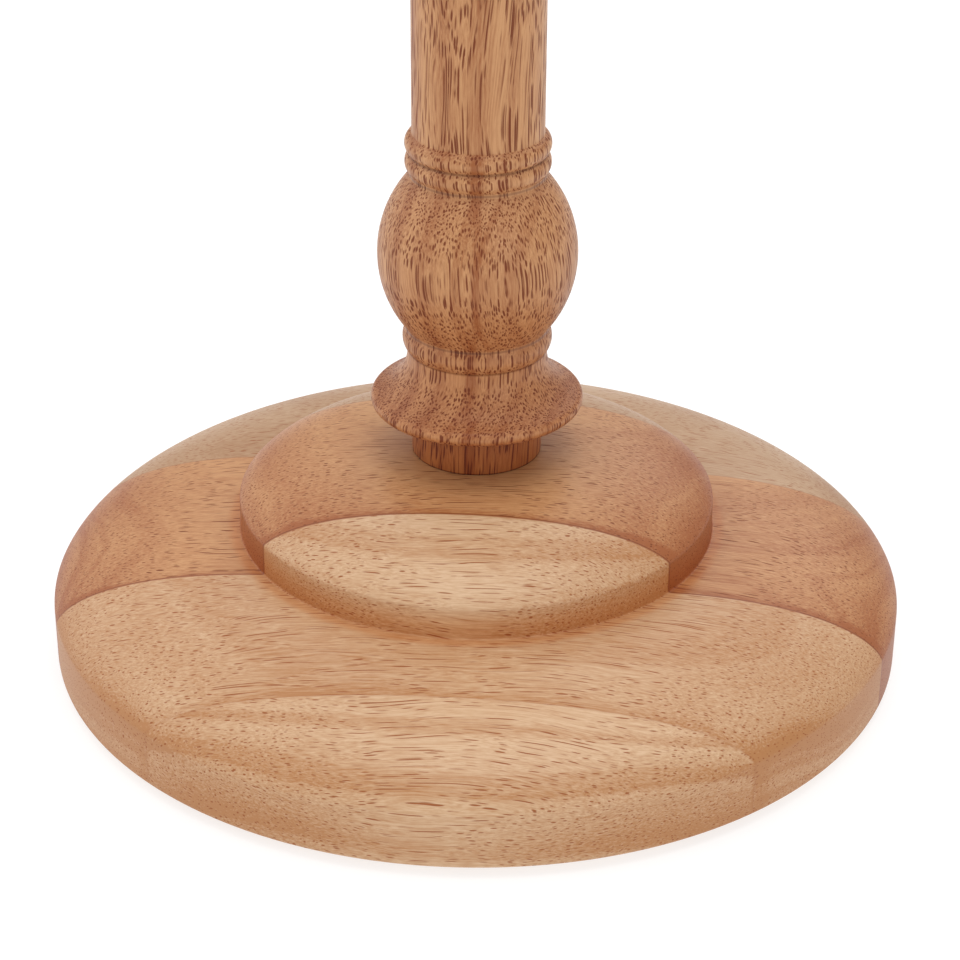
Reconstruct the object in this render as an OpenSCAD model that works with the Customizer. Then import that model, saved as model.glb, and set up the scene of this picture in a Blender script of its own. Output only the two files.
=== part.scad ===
// Turned wooden mug tree: a domed round base glued up from boards, a turned post,
// six round pegs, a turned finial, and the screw and pads that it is put together with.
// Millimetres. +Z is up, -Y is the front, and the origin is on the table at the post's axis.

/* [Base] */
// Diameter of the base
base_d = 170; // [140:1:220]
// Height of the straight rim, from the base's underside to the edge of the shoulder
rim_h = 11.5; // [9:0.1:14]
// Small chamfer round the bottom of the rim
rim_chamfer = 0.6; // [0.3:0.1:2]
// Height at which the shoulder meets the raised tier
shoulder_h = 24.5; // [18:0.5:27]
// Diameter of the raised tier
tier_d = 94.5; // [70:0.1:110]
// Height of the top edge of the tier's wall
tier_wall_h = 31; // [28:0.1:34]
// Height of the flat seat for the post, where the dome begins
seat_h = 40.6; // [36:0.1:46]
// Diameter of the flat seat
seat_d = 28.8; // [26:0.1:50]

/* [Boards of the base] */
// Angle of the glued seams to the front, about the post's axis
seam_angle = -4.4; // [-45:0.1:45]
// Distance from the post's axis to the seam in front of it
front_seam = 26.7; // [20:0.1:32]
// Distance from the post's axis to the seam behind it
rear_seam = 22.4; // [20:0.1:32]
// Width of the board in front of the middle one
front_board_w = 37.4; // [25:0.1:37.4]

/* [Post] */
// Diameter of the plain column
column_d = 25; // [20:0.5:32]
// Diameter of the neck that stands on the base
neck_d = 25.5; // [22:0.5:32]
// Height of the neck, up to the underside of the collar
neck_h = 10; // [6:0.1:20]
// Diameter of the collar
collar_d = 41.6; // [38:0.1:60]
// Thickness of the collar's rounded rim
collar_rim = 2.8; // [2:0.1:5]
// Height of the flare above the collar's rim
flare_h = 8.2; // [6:0.1:14]
// Diameter of the narrowest place above the flare
cove_d = 27.2; // [23:0.1:30]
// Diameter of the bead under the ball
low_bead_d = 29.4; // [28:0.1:34]
// Height of the bead under the ball
low_bead_h = 4.3; // [3:0.1:7]
// Diameter of the ball
ball_d = 38.4; // [34:0.1:50]
// Height of the ball between its beads
ball_h = 30.5; // [26:0.1:40]
// Diameter of the pair of beads above the ball
top_bead_d = 27.7; // [26.8:0.1:34]
// Height of each of the pair of beads
top_bead_h = 3.8; // [3:0.1:6]
// Height of plain column from the beads up to the lowest pegs
plain_h = 80; // [68:1:120]

/* [Joint of post and base] */
// Diameter of the tenon under the post
tenon_d = 19; // [14:0.5:20]
// Length of the tenon
tenon_h = 20; // [12:0.5:24]
// Diameter of the screw's shank
screw_d = 5; // [4:0.5:6]
// Length of the screw under its head
screw_l = 50; // [40:1:60]
// Diameter of the screw's head
screw_head_d = 9.5; // [8:0.5:11]
// Height of the screw's head
screw_head_h = 3.4; // [2.5:0.1:4]
// Outer diameter of the washer
washer_d = 15; // [13:0.5:18]
// Thickness of the washer
washer_t = 1.2; // [0.8:0.1:2]
// Depth of the counterbore that hides the screw's head
counterbore_h = 8; // [6.5:0.1:10]

/* [Pegs] */
// Diameter of a peg
peg_d = 10; // [8:0.5:10]
// Length of a peg outside the post
peg_reach = 62; // [45:1:80]
// Wood left inside the post between the ends of two opposite pegs
peg_core = 1.7; // [1:0.1:4]
// Rise of a peg above the horizontal, in degrees
peg_rise = 30; // [20:1:32]
// Distance from one level of pegs to the next
level_step = 58; // [40:1:80]
// Turn from one level of pegs to the next, in degrees
level_turn = 60; // [30:5:90]
// Height of the domed end of a peg
peg_dome = 3; // [2:0.1:4]
// Wood left between the holes for the highest pegs and the hole for the finial
peg_margin = 5; // [3:0.5:20]

/* [Finial] */
// Diameter of the knob
knob_d = 32; // [28:0.5:40]
// Height of the knob
knob_h = 25; // [20:0.5:34]
// Diameter of the waist under the knob
waist_d = 17; // [15:0.5:20]
// Height of the waist under the knob
waist_h = 6; // [4:0.1:9]
// Diameter of the button on the knob
button_d = 9; // [6:0.5:12]
// Height of the button on the knob
button_h = 3; // [2:0.1:5]
// Diameter of the finial's tenon
finial_tenon_d = 12; // [8:0.5:14]
// Length of the finial's tenon
finial_tenon_h = 16; // [10:0.5:22]

/* [Pads under the base] */
// Diameter of a pad
pad_d = 15; // [10:0.5:20]
// Thickness of a pad
pad_t = 2; // [1:0.1:3]
// Distance from the rim to the edge of a pad
pad_inset = 8; // [5:0.5:15]

/* [Hidden] */
$fn = 96;
// clearance on radius of a glued round joint, and of the screw in the base
glue_gap = 0.1;
screw_gap = 0.4;
// straight lands between the turned features
quirk_h = 0.8;
cove_land = 1;
// how far a turned curve runs past the wall that cuts it off
shoulder_over = 0.6;
dome_over = 2;
// how far the shoulder's crown lies inside the tier's wall
shoulder_crown = 2.3;
// half-width of the ellipse that the flare follows
flare_w = 11.5;
// depths of the valleys beside the ball and its beads, on radius
bead_valley = 0.85;
low_valley = 0.7;
// how far the collar's underside rises towards the neck, and how far its rim bulges
undercut = 0.6;
rim_round = 0.85;
// depth of the hollow turned in the finial's waist
waist_hollow = 1.5;
// plain tip of the screw, and the cross in its head
screw_tip_h = 6;
cross_w = 1.4;
cross_h = 1.6;
eps = 0.01;
curve_steps = 16;

base_r = base_d / 2;
tier_r = tier_d / 2;
column_r = column_d / 2;
neck_r = neck_d / 2;
collar_r = collar_d / 2;
cove_r = cove_d / 2;
ball_r = ball_d / 2;
peg_r = peg_d / 2;
low_bead_r = low_bead_d / 2;
top_bead_r = top_bead_d / 2;

// where a peg starts on its own line from the post's axis, and how deep that is in the post
peg_start = (peg_core / 2 + peg_r * sin(peg_rise)) / cos(peg_rise);
peg_depth = column_r / cos(peg_rise) - peg_start;
// height that a peg's hole reaches above the place where the peg's line crosses the post's axis
peg_hole_h = column_r * tan(peg_rise) + peg_r / cos(peg_rise);

// heights above the post's seat
z_rim = neck_h;
z_flare = z_rim + collar_rim;
z_cove = z_flare + flare_h;
z_low_bead = z_cove + cove_land;
z_ball = z_low_bead + low_bead_h + quirk_h;
z_beads = z_ball + ball_h + quirk_h;
z_column = z_beads + 2 * top_bead_h;
z_pegs = z_column + plain_h;
post_h = z_pegs + 2 * level_step + peg_hole_h + peg_margin + finial_tenon_h;

// heights above the table
z_base = pad_t;
z_seat = z_base + seat_h;
z_mortise = z_seat - tenon_h;
z_ledge = z_base + counterbore_h;
z_head = z_ledge - washer_t;
z_pilot = z_head + screw_l;
z_post_top = z_seat + post_h;

PADS = 4;
PALE_WOOD = "#d9ab7a";
WARM_WOOD = "#bf8453";
POST_WOOD = "#bd8756";

// each board's name, the places of its nearer and farther seams behind the post's axis, and its colour
BOARDS = [
    ["base_front_edge_board", -base_d, -front_seam - front_board_w, PALE_WOOD],
    ["base_front_board", -front_seam - front_board_w, -front_seam, PALE_WOOD],
    ["base_middle_board", -front_seam, rear_seam, WARM_WOOD],
    ["base_rear_board", rear_seam, base_d, PALE_WOOD]
];
// each peg's name, its level from the lowest up, and the side of the post that it is on
PEGS = [
    ["peg_low_right", 0, 0],
    ["peg_low_left", 0, 1],
    ["peg_middle_right", 1, 0],
    ["peg_middle_left", 1, 1],
    ["peg_high_right", 2, 1],
    ["peg_high_left", 2, 0]
];

// points on an ellipse in a profile, from one angle to another
function ellipse_arc(centre, radii, from, to, steps = curve_steps) = [
    for (i = [0 : steps])
        let (t = from + (to - from) * i / steps)
            [centre[0] + radii[0] * cos(t), centre[1] + radii[1] * sin(t)]
];

// points on a round arc from p up to q that stands out from its chord by rise
function bulge(p, q, rise, steps = curve_steps) =
    let (
        chord = norm(q - p),
        along = (q - p) / chord,
        out = [along[1], -along[0]],
        half = 2 * atan(2 * rise / chord),
        radius = chord / (2 * sin(half)),
        middle = (p + q) / 2
    ) [
        for (i = [0 : steps])
            let (t = half * (2 * i / steps - 1))
                middle + along * radius * sin(t) + out * radius * (cos(t) - cos(half))
    ];

// half-height of an ellipse that falls by drop between its crown and its cut at reach
function ellipse_height(drop, reach) = drop / (1 - sqrt(1 - reach * reach));

function base_profile() =
    let (
        shoulder_mid = tier_r - shoulder_crown,
        shoulder_w = base_r + shoulder_over - shoulder_mid,
        shoulder_cut = (base_r - shoulder_mid) / shoulder_w,
        shoulder_b = ellipse_height(shoulder_h - rim_h, shoulder_cut),
        seat_r = seat_d / 2,
        dome_w = tier_r + dome_over - seat_r,
        dome_cut = (tier_r - seat_r) / dome_w,
        dome_b = ellipse_height(seat_h - tier_wall_h, dome_cut)
    ) concat(
        [[0, 0], [base_r - rim_chamfer, 0], [base_r, rim_chamfer]],
        ellipse_arc([shoulder_mid, shoulder_h - shoulder_b], [shoulder_w, shoulder_b],
            acos(shoulder_cut), acos(shoulder_crown / shoulder_w)),
        ellipse_arc([seat_r, seat_h - dome_b], [dome_w, dome_b], acos(dome_cut), 90),
        [[0, seat_h]]
    );

function post_profile() =
    let (
        valley_r = top_bead_r - bead_valley,
        ball_foot_r = low_bead_r - low_valley,
        rim_r = collar_r - rim_round,
        flare_angle = acos(1 - (rim_r - cove_r) / flare_w),
        flare_b = flare_h / sin(flare_angle)
    ) concat(
        [[0, -tenon_h], [tenon_d / 2, -tenon_h], [tenon_d / 2, 0], [neck_r, 0]],
        [[neck_r, z_rim - undercut]],
        bulge([rim_r, z_rim], [rim_r, z_flare], rim_round),
        ellipse_arc([cove_r + flare_w, z_cove], [-flare_w, -flare_b], flare_angle, 0),
        bulge([cove_r, z_low_bead], [ball_foot_r, z_ball - quirk_h], low_bead_r - ball_foot_r),
        bulge([ball_foot_r, z_ball], [valley_r, z_ball + ball_h],
            ball_r - (ball_foot_r + valley_r) / 2),
        bulge([valley_r, z_beads], [valley_r, z_beads + top_bead_h], bead_valley),
        bulge([valley_r, z_beads + top_bead_h], [column_r, z_column],
            top_bead_r - (valley_r + column_r) / 2),
        [[column_r, post_h], [0, post_h]]
    );

function finial_profile() =
    let (
        waist_r = waist_d / 2,
        knob_foot_r = waist_r + low_valley,
        button_r = button_d / 2,
        z_waist = top_bead_h + quirk_h,
        z_knob = z_waist + waist_h,
        z_button = z_knob + knob_h
    ) concat(
        [[0, -finial_tenon_h], [finial_tenon_d / 2, -finial_tenon_h], [finial_tenon_d / 2, 0]],
        bulge([column_r, 0], [column_r, top_bead_h], top_bead_r - column_r),
        bulge([column_r, z_waist], [waist_r, z_knob - quirk_h], -waist_hollow),
        bulge([knob_foot_r, z_knob], [button_r, z_button],
            knob_d / 2 - (knob_foot_r + button_r) / 2),
        ellipse_arc([0, z_button + button_h / 2], [button_r, button_h / 2], 0, 90)
    );

module turned_base() {
    translate([0, 0, z_base])
        rotate_extrude()
            polygon(base_profile());
}

// the mortise for the post's tenon, the screw's hole and its counterbore
module base_bores() {
    translate([0, 0, z_mortise])
        cylinder(h = tenon_h + eps, d = tenon_d + 2 * glue_gap);
    translate([0, 0, z_base - eps])
        cylinder(h = seat_h, d = screw_d + 2 * screw_gap);
    translate([0, 0, z_base - eps])
        cylinder(h = counterbore_h + eps, d = washer_d + 2 * screw_gap);
}

module base_board(board) {
    color(board[3])
        difference() {
            intersection() {
                turned_base();
                rotate([0, 0, seam_angle])
                    translate([-base_d, board[1], 0])
                        cube([2 * base_d, board[2] - board[1], z_seat + eps]);
            }
            base_bores();
        }
}

// side 0 points to the right at the lowest level, side 1 to the left
module place_peg(level, side) {
    translate([0, 0, z_seat + z_pegs + level * level_step])
        rotate([0, 0, level * level_turn + side * 180])
            rotate([0, 90 - peg_rise, 0])
                translate([0, 0, peg_start])
                    children();
}

module peg(level, side) {
    body_l = peg_depth + peg_reach - peg_dome;
    color(PALE_WOOD)
        place_peg(level, side)
            rotate_extrude()
                polygon(concat(
                    [[0, 0], [peg_r, 0]],
                    ellipse_arc([0, body_l], [peg_r, peg_dome], 0, 90)
                ));
}

module post() {
    color(POST_WOOD)
        difference() {
            translate([0, 0, z_seat])
                rotate_extrude()
                    polygon(post_profile());
            for (peg = PEGS)
                place_peg(peg[1], peg[2])
                    cylinder(h = peg_depth + peg_reach, d = peg_d + 2 * glue_gap);
            translate([0, 0, z_mortise - eps])
                cylinder(h = z_pilot - z_mortise, d = screw_d + 2 * glue_gap);
            translate([0, 0, z_post_top - finial_tenon_h])
                cylinder(h = finial_tenon_h + eps, d = finial_tenon_d + 2 * glue_gap);
        }
}

module finial() {
    color(POST_WOOD)
        translate([0, 0, z_post_top])
            rotate_extrude()
                polygon(finial_profile());
}

module base_screw() {
    head_r = screw_head_d / 2;
    head_edge = screw_head_h / 3;
    color("#b8a25a")
        difference() {
            translate([0, 0, z_head])
                rotate_extrude()
                    polygon(concat(
                        ellipse_arc([0, -head_edge], [head_r, screw_head_h - head_edge], 270, 360),
                        [[head_r, 0], [screw_d / 2, 0]],
                        [[screw_d / 2, screw_l - screw_tip_h], [0, screw_l]]
                    ));
            for (turn = [0, 90])
                rotate([0, 0, turn])
                    translate([-head_r / 2, -cross_w / 2, z_head - screw_head_h - eps])
                        cube([head_r, cross_w, cross_h]);
        }
}

module screw_washer() {
    color("#c4c6c8")
        translate([0, 0, z_ledge - washer_t])
            difference() {
                cylinder(h = washer_t, d = washer_d);
                translate([0, 0, -eps])
                    cylinder(h = washer_t + 2 * eps, d = screw_d + 2 * glue_gap);
            }
}

module foot_pad(number) {
    color("#8a7058")
        rotate([0, 0, seam_angle + 45 + number * 360 / PADS])
            translate([base_r - pad_inset - pad_d / 2, 0, 0])
                cylinder(h = pad_t, d = pad_d);
}

for (board = BOARDS)
    base_board(board);
post();
finial();
for (peg = PEGS)
    peg(peg[1], peg[2]);
base_screw();
screw_washer();
for (number = [1 : PADS])
    foot_pad(number);
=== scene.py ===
"""Looks of a turned wooden mug tree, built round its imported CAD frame.

Every piece is a surface worked out in millimetres from the turned outlines, put into the frame in
metres, and dressed in a finish that runs with the wood's own grain.
"""

import logging
import math
from dataclasses import dataclass, field, replace
from enum import Enum
from itertools import accumulate
from typing import Any, Iterable, Sequence

import bmesh
import bpy
import numpy as np
from mathutils import Matrix, Vector

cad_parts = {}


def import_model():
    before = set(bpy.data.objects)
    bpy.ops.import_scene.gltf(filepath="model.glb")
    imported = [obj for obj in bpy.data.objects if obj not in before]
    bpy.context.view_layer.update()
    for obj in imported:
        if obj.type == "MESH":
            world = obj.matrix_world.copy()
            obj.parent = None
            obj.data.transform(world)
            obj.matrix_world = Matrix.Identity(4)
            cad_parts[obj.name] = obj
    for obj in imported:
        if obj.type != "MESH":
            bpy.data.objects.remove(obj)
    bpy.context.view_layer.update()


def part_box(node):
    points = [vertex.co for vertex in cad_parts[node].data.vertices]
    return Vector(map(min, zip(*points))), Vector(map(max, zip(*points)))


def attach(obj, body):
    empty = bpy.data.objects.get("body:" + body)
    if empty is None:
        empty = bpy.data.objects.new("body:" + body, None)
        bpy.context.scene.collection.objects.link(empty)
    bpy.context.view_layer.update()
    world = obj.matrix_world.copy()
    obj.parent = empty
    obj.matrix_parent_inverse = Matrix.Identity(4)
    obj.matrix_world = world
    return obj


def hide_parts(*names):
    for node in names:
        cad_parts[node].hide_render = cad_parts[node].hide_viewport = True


LOG = logging.getLogger("mug_tree")
MM = 0.001
WOOD_PLACE = "wood_place"
END_GRAIN = "end_grain"
WELD = 2e-6

Array = np.ndarray
Point = tuple[float, float]
Triple = tuple[float, float, float]
Colour = tuple[float, float, float, float]


class Slot(Enum):
    """Names of the record's material slots for the pieces' finishes."""

    PALE_BOARD = "pale_board"
    WARM_BOARD = "warm_board"
    REAR_BOARD = "rear_board"
    POST = "post_wood"
    PEG = "peg_wood"
    SCREW = "screw_steel"
    WASHER = "washer_steel"
    PAD = "pad_felt"


# ---------------------------------------------------------------- outlines


def ellipse_arc(centre: Point, radii: Point, start: float, end: float, steps: int = 60) -> Array:
    """Points (r, z) of an ellipse: the centre plus each radius times the cosine or sine of an angle.

    Args:
        centre: Middle of the ellipse.
        radii: Half-width and half-height, negative to run the other way.
        start: First angle, in radians.
        end: Last angle, in radians.
        steps: Number of stretches between the points.

    Returns:
        The points, one row each.
    """
    angle = np.linspace(start, end, steps + 1)
    return np.stack([centre[0] + radii[0] * np.cos(angle), centre[1] + radii[1] * np.sin(angle)], -1)


def bulge(low: Point, high: Point, rise: float, steps: int = 48) -> Array:
    """Round arc from low up to high that stands out from its chord.

    The half-angle is twice the arctangent of rise over half the chord, and the points turn evenly
    round the arc's centre from minus that angle to plus it.

    Args:
        low: Lower end.
        high: Upper end.
        rise: How far the middle stands out from the chord, negative for a hollow.
        steps: Number of stretches between the points.

    Returns:
        The points, one row each.
    """
    first, last = np.array(low, float), np.array(high, float)
    chord = np.linalg.norm(last - first)
    along = (last - first) / chord
    out = np.array([along[1], -along[0]])
    half = 2 * math.atan(2 * rise / chord)
    radius = chord / (2 * math.sin(half))
    turn = np.linspace(-half, half, steps + 1)[:, None]
    lift = np.cos(turn) - math.cos(half)
    return (first + last) / 2 + along * radius * np.sin(turn) + out * radius * lift


def ellipse_height(drop: float, reach: float) -> float:
    """Half-height of an ellipse that falls by drop from its crown to a cut at reach of its half-width."""
    return drop / (1 - math.sqrt(1 - reach * reach))


def sanded(outline: Array, softness: float, spacing: float = 0.06) -> Array:
    """Outline with its corners eased, as sandpaper eases them on the lathe.

    The outline is stepped off evenly, and each point becomes the average of its neighbours under a
    bell curve as wide as the softness. Both ends are mirrored through themselves, so they stay put.

    Args:
        outline: Points (r, z).
        softness: Spread of the bell curve, in mm.
        spacing: Distance between the evenly stepped points, in mm.

    Returns:
        The eased points, one row each.
    """
    length = np.concatenate([[0], np.cumsum(np.linalg.norm(np.diff(outline, axis=0), axis=1))])
    count = int(length[-1] / spacing) + 2
    even = np.linspace(0, length[-1], count)
    stepped = np.stack([np.interp(even, length, outline[:, k]) for k in (0, 1)], -1)
    reach = min(int(4 * softness / spacing) + 1, count - 1)
    bell = np.exp(-0.5 * (np.arange(-reach, reach + 1) * spacing / softness) ** 2)
    before = 2 * stepped[0] - stepped[reach:0:-1]
    after = 2 * stepped[-1] - stepped[-2 : -reach - 2 : -1]
    padded = np.concatenate([before, stepped, after])
    smooth = [np.convolve(padded[:, k], bell / bell.sum(), "valid") for k in (0, 1)]
    return np.stack(smooth, -1)


def levels(outline: Array, step: float, turn: float = 5.0, radii: Iterable[float] = ()) -> Array:
    """The rows of a turned surface, close together where the outline bends.

    Each stretch weighs its length over the step plus its bend over the turn, and a row stands
    wherever the running total passes a whole number. The outline's crossings of the given radii
    become rows as well.

    Args:
        outline: Finely stepped points (r, z).
        step: Longest distance between rows, in mm.
        turn: Largest bend between rows, in degrees.
        radii: Distances from the axis that must each have a row of their own.

    Returns:
        Points (r, z), one for each row.
    """
    run = np.diff(outline, axis=0)
    bend = np.abs(np.diff(np.unwrap(np.arctan2(run[:, 1], run[:, 0]))))
    weight = np.linalg.norm(run, axis=1) / step
    weight[1:] += bend / math.radians(turn)
    total = np.concatenate([[0], np.cumsum(weight)])
    count = int(total[-1]) + 1
    places = [np.interp(np.linspace(0, total[-1], count + 1), total, np.arange(len(outline)))]
    for radius in radii:
        off = outline[:, 0] - radius
        at = np.nonzero((off[:-1] * off[1:] < 0))[0]
        places.append(at + off[at] / (off[at] - off[at + 1]))
    place = np.unique(np.round(np.concatenate(places), 6))
    return np.stack([np.interp(place, np.arange(len(outline)), outline[:, k]) for k in (0, 1)], -1)


# ---------------------------------------------------------------- meshes


def grid_faces(rows: int, columns: int, wrap: bool = False) -> Array:
    """Four-sided faces between the points of a grid that is numbered row by row.

    Args:
        rows: Number of rows.
        columns: Points in a row.
        wrap: Whether each row's last point joins its first.

    Returns:
        Four point numbers for each face.
    """
    number = np.arange(rows * columns).reshape(rows, columns)
    if wrap:
        number = np.concatenate([number, number[:, :1]], 1)
    corners = [number[:-1, :-1], number[:-1, 1:], number[1:, 1:], number[1:, :-1]]
    return np.stack(corners, -1).reshape(-1, 4)


def turned(rows: Array, around: int) -> tuple[Array, Array]:
    """Surface of revolution: row (r, z) at angle t stands at (r cos t, r sin t, z).

    Args:
        rows: Points (r, z), one for each row.
        around: Points in a turn.

    Returns:
        The points and the four-sided faces.
    """
    angle = np.linspace(0, 2 * math.pi, around, endpoint=False)
    r, z = rows[:, :1], rows[:, 1:]
    points = np.stack([r * np.cos(angle), r * np.sin(angle), z + 0 * angle], -1)
    return points.reshape(-1, 3), grid_faces(len(rows), around, wrap=True)


def closed_mesh(name: str, points: Array, faces: Sequence[Sequence[int]]) -> bpy.types.Object:
    """New object with doubled points merged and all faces pointing outwards.

    Args:
        name: Name of the piece.
        points: Points in mm, in the frame.
        faces: Point numbers of each face.

    Returns:
        The object, at the origin, with its place in its mesh.
    """
    mesh = bpy.data.meshes.new(name)
    mesh.from_pydata((points * MM).tolist(), [], [list(map(int, face)) for face in faces])
    shell = bmesh.new()
    shell.from_mesh(mesh)
    bmesh.ops.remove_doubles(shell, verts=shell.verts, dist=WELD)
    bmesh.ops.recalc_face_normals(shell, faces=shell.faces)
    shell.to_mesh(mesh)
    shell.free()
    piece = bpy.data.objects.new(name, mesh)
    bpy.context.scene.collection.objects.link(piece)
    return piece


def carve(piece: bpy.types.Object, cutter: bpy.types.Object) -> None:
    """Takes the cutter's volume out of the piece and removes the cutter."""
    modifier = piece.modifiers.new("carve", "BOOLEAN")
    modifier.operation = "DIFFERENCE"
    modifier.solver = "EXACT"
    modifier.object = cutter
    whole = piece.evaluated_get(bpy.context.evaluated_depsgraph_get())
    piece.data = bpy.data.meshes.new_from_object(whole)
    piece.modifiers.clear()
    bpy.data.objects.remove(cutter)


def soften(piece: bpy.types.Object, crease: float = 32.0) -> None:
    """Shades the piece smooth, except along edges that bend by more than the crease, in degrees."""
    piece.data.shade_smooth()
    piece.data.set_sharp_from_angle(angle=math.radians(crease))


@dataclass(frozen=True)
class Grain:
    """Which way the wood of a piece runs: two unit directions across the grain and one along it."""

    across: Triple
    depth: Triple
    along: Triple

    def mark(self, piece: bpy.types.Object) -> None:
        """Writes each point's place in the wood, in mm, and how squarely the surface cuts the grain.

        The place is the point's distance along each of the three directions. The end grain is the
        size of the surface direction's share along the grain.

        Args:
            piece: The finished piece.
        """
        mesh = piece.data
        count = len(mesh.vertices)
        points, normals = np.empty(count * 3), np.empty(count * 3)
        mesh.vertices.foreach_get("co", points)
        mesh.vertex_normals.foreach_get("vector", normals)
        axes = np.array([self.across, self.depth, self.along])
        place = points.reshape(-1, 3) @ axes.T / MM
        end = np.abs(normals.reshape(-1, 3) @ axes[2])
        mesh.attributes.new(WOOD_PLACE, "FLOAT_VECTOR", "POINT").data.foreach_set("vector", place.ravel())
        mesh.attributes.new(END_GRAIN, "FLOAT", "POINT").data.foreach_set("value", end)


UPRIGHT = Grain((1, 0, 0), (0, 1, 0), (0, 0, 1))


# ---------------------------------------------------------------- shaders


class Wire:
    """A node's output in an expression. Sums and products on it add the nodes that work them out."""

    def __init__(self, net: "Net", socket: bpy.types.NodeSocket) -> None:
        """Keeps the net and the output."""
        self.net = net
        self.socket = socket

    def _join(self, operation: str, first: Any, second: Any) -> "Wire":
        """Adds the node for one operation: Vector Math where either side is a vector or colour."""
        sides = (first, second)
        wide = any(
            s.socket.type != "VALUE" if isinstance(s, Wire) else isinstance(s, tuple) for s in sides
        )
        kind = "ShaderNodeVectorMath" if wide else "ShaderNodeMath"
        if wide:
            sides = tuple((s,) * 3 if isinstance(s, (int, float)) else s for s in sides)
        return self.net.add(kind, {"operation": operation}, dict(enumerate(sides)))

    def __add__(self, other: Any) -> "Wire":
        """Sum."""
        return self._join("ADD", self, other)

    def __radd__(self, other: Any) -> "Wire":
        """Sum with the wire on the right."""
        return self._join("ADD", other, self)

    def __sub__(self, other: Any) -> "Wire":
        """Difference."""
        return self._join("SUBTRACT", self, other)

    def __rsub__(self, other: Any) -> "Wire":
        """Difference with the wire on the right."""
        return self._join("SUBTRACT", other, self)

    def __mul__(self, other: Any) -> "Wire":
        """Product."""
        return self._join("MULTIPLY", self, other)

    def __rmul__(self, other: Any) -> "Wire":
        """Product with the wire on the right."""
        return self._join("MULTIPLY", other, self)

    def __truediv__(self, other: Any) -> "Wire":
        """Quotient."""
        return self._join("DIVIDE", self, other)

    def __abs__(self) -> "Wire":
        """Size of a value without its sign."""
        return self.net.add("ShaderNodeMath", {"operation": "ABSOLUTE"}, {0: self})

    def length(self) -> "Wire":
        """Length of a vector."""
        return self.net.add("ShaderNodeVectorMath", {"operation": "LENGTH"}, {0: self}, "Value")

    def ramp(self, low: float, high: float, start: float = 0.0, end: float = 1.0) -> "Wire":
        """Eased step from start at low to end at high; low may be the larger of the two.

        Args:
            low: Value at which the step begins.
            high: Value at which it ends.
            start: Result before the step.
            end: Result after it.

        Returns:
            The result.
        """
        flip = low > high
        span = (high, low, end, start) if flip else (low, high, start, end)
        inputs = {"Value": self, **dict(zip(("From Min", "From Max", "To Min", "To Max"), span))}
        return self.net.add("ShaderNodeMapRange", {"interpolation_type": "SMOOTHSTEP"}, inputs)

    def part(self, name: str) -> "Wire":
        """The X, Y or Z share of a vector."""
        return self.net.add("ShaderNodeSeparateXYZ", {}, {"Vector": self}, name)


class Net:
    """The nodes of one material or world."""

    def __init__(self, tree: bpy.types.NodeTree) -> None:
        """Starts from an empty tree."""
        self.tree = tree
        tree.nodes.clear()

    def add(
        self,
        kind: str,
        settings: dict[str, Any] | None = None,
        inputs: dict[int | str, Any] | None = None,
        output: int | str = 0,
    ) -> Wire:
        """Adds any node: its settings are set first, then its inputs are given values or linked.

        Args:
            kind: Type of the node.
            settings: Its own properties by name.
            inputs: A value or a wire for each input, by number or name.
            output: The output to return, by number or name.

        Returns:
            The wire from that output.
        """
        node = self.tree.nodes.new(kind)
        for name, value in (settings or {}).items():
            setattr(node, name, value)
        for name, value in (inputs or {}).items():
            if isinstance(value, Wire):
                self.tree.links.new(value.socket, node.inputs[name])
            else:
                node.inputs[name].default_value = value
        return Wire(self, node.outputs[output] if node.outputs else None)

    def noise(self, place: Wire, detail: float = 0.0, rough: float = 0.5, output: str = "Fac") -> Wire:
        """Smooth noise about one half, with features one unit apart."""
        inputs = {"Vector": place, "Scale": 1.0, "Detail": detail, "Roughness": rough}
        return self.add("ShaderNodeTexNoise", {}, inputs, output)

    def blend(self, share: Any, first: Any, second: Any) -> Wire:
        """Colour that goes from first to second as the share goes from 0 to 1."""
        settings = {"data_type": "RGBA", "blend_type": "MIX", "clamp_factor": True}
        return self.add("ShaderNodeMix", settings, {0: share, 6: first, 7: second}, 2)

    def bump(self, height: Wire, depth: float, strength: float = 1.0) -> Wire:
        """Surface direction for a height from 0 to 1 that is worth the depth, in mm."""
        inputs = {"Strength": strength, "Distance": depth * MM, "Height": height}
        return self.add("ShaderNodeBump", {}, inputs)

    def surface(self, inputs: dict[str, Any]) -> None:
        """Ends the net in one Principled shader with these inputs."""
        shader = self.add("ShaderNodeBsdfPrincipled", {}, inputs, "BSDF")
        self.add("ShaderNodeOutputMaterial", {}, {"Surface": shader})


def linear(red: float, green: float, blue: float) -> Colour:
    """Scene colour of a display colour given from 0 to 255."""
    shares = (v / 255 for v in (red, green, blue))
    return tuple(v / 12.92 if v <= 0.04045 else ((v + 0.055) / 1.055) ** 2.4 for v in shares) + (1.0,)


@dataclass(frozen=True)
class Finish:
    """What every finish has: the name of its material, and nodes of its own."""

    name: str

    def material(self) -> bpy.types.Material:
        """The material, with the finish's nodes."""
        made = bpy.data.materials.new(self.name)
        made.use_nodes = True
        self.dress(Net(made.node_tree))
        return made

    def dress(self, net: Net) -> None:
        """Adds the finish's nodes to the net."""
        raise NotImplementedError


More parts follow.
